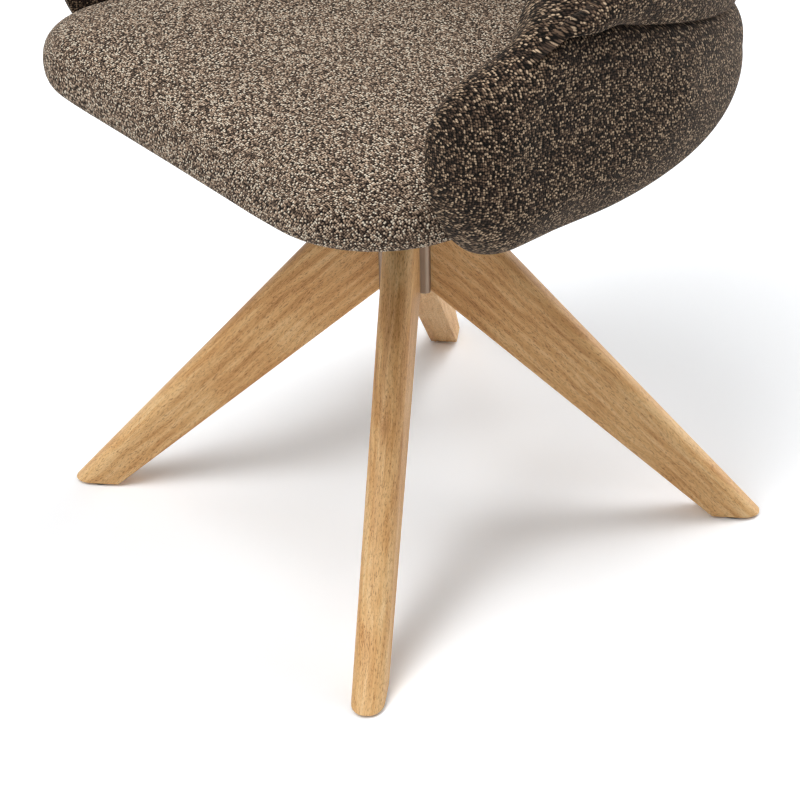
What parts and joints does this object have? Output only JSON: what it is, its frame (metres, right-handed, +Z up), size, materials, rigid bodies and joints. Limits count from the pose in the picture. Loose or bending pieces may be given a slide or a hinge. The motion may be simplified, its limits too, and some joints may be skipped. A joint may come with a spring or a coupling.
{
  "type": "swivel dining chair",
  "caption": "Upholstered tub dining chair whose round seat turns on a ball bearing above a square steel hub and a star of splayed wooden legs.",
  "frame": {"origin": "on the floor, in the middle of the chair's outline; the swivel axis stands 20 mm in front of it", "axes": "+Z up along the swivel axis; -Y is the way the sitter faces; +X is the sitter's left"},
  "size_m": [0.6114, 0.5183, 0.7851],
  "materials": {
    "leg_wood": "oak, matt oiled",
    "hub_steel": "satin, bronze-grey plated",
    "black_plastic": "matt black",
    "bush_plastic": "natural acetal",
    "zinc_steel": "zinc plated",
    "bearing_steel": "ground",
    "cage_brass": "pressed sheet",
    "black_steel": "black powder coat",
    "board_wood": "raw plywood",
    "seat_fabric": "taupe chunky weave",
    "tub_fabric": "taupe chunky weave",
    "felt": "thin black felt"
  },
  "bodies": {
    "base": {"leg_front_left": "leg_wood", "leg_front_right": "leg_wood", "leg_rear_left": "leg_wood", "leg_rear_right": "leg_wood", "hub_tube": "hub_steel", "hub_cap": "hub_steel", "hub_bush_plate": "hub_steel", "hub_plug": "black_plastic", "upper_bush": "bush_plastic", "lower_bush": "bush_plastic", "leg_bolts": "zinc_steel", "leg_inserts": "zinc_steel", "glides": "black_plastic", "glide_screws": "zinc_steel", "lower_race": "bearing_steel"},
    "cage": {"ball_cage": "cage_brass", "bearing_balls": "bearing_steel"},
    "seat": {"upper_race": "bearing_steel", "spindle": "bearing_steel", "spindle_washer": "zinc_steel", "retaining_ring": "zinc_steel", "swivel_plate": "black_steel", "plate_screws": "zinc_steel", "tee_nuts": "zinc_steel", "seat_board": "board_wood", "seat_cushion": "seat_fabric", "dust_cover": "felt", "lower_rail": "black_steel", "upper_rail": "black_steel", "front_left_post": "black_steel", "front_right_post": "black_steel", "rear_left_post": "black_steel", "rear_right_post": "black_steel", "front_left_bracket": "black_steel", "front_right_bracket": "black_steel", "rear_left_bracket": "black_steel", "rear_right_bracket": "black_steel", "bracket_screws": "zinc_steel", "left_wing_pad": "tub_fabric", "right_wing_pad": "tub_fabric", "back_pad": "tub_fabric"}
  },
  "joints": [
    {"name": "seat_swivel", "type": "hinge", "parent": "base", "child": "seat", "pos_m": [0, -0.02, 0.363], "axis": [0, 0, 1], "continuous": true},
    {"name": "cage_turn", "type": "hinge", "parent": "base", "child": "cage", "pos_m": [0, -0.02, 0.363], "axis": [0, 0, 1], "continuous": true}
  ],
  "couplings": [
    {"joint": "cage_turn", "follows": "seat_swivel", "ratio": 0.5}
  ]
}
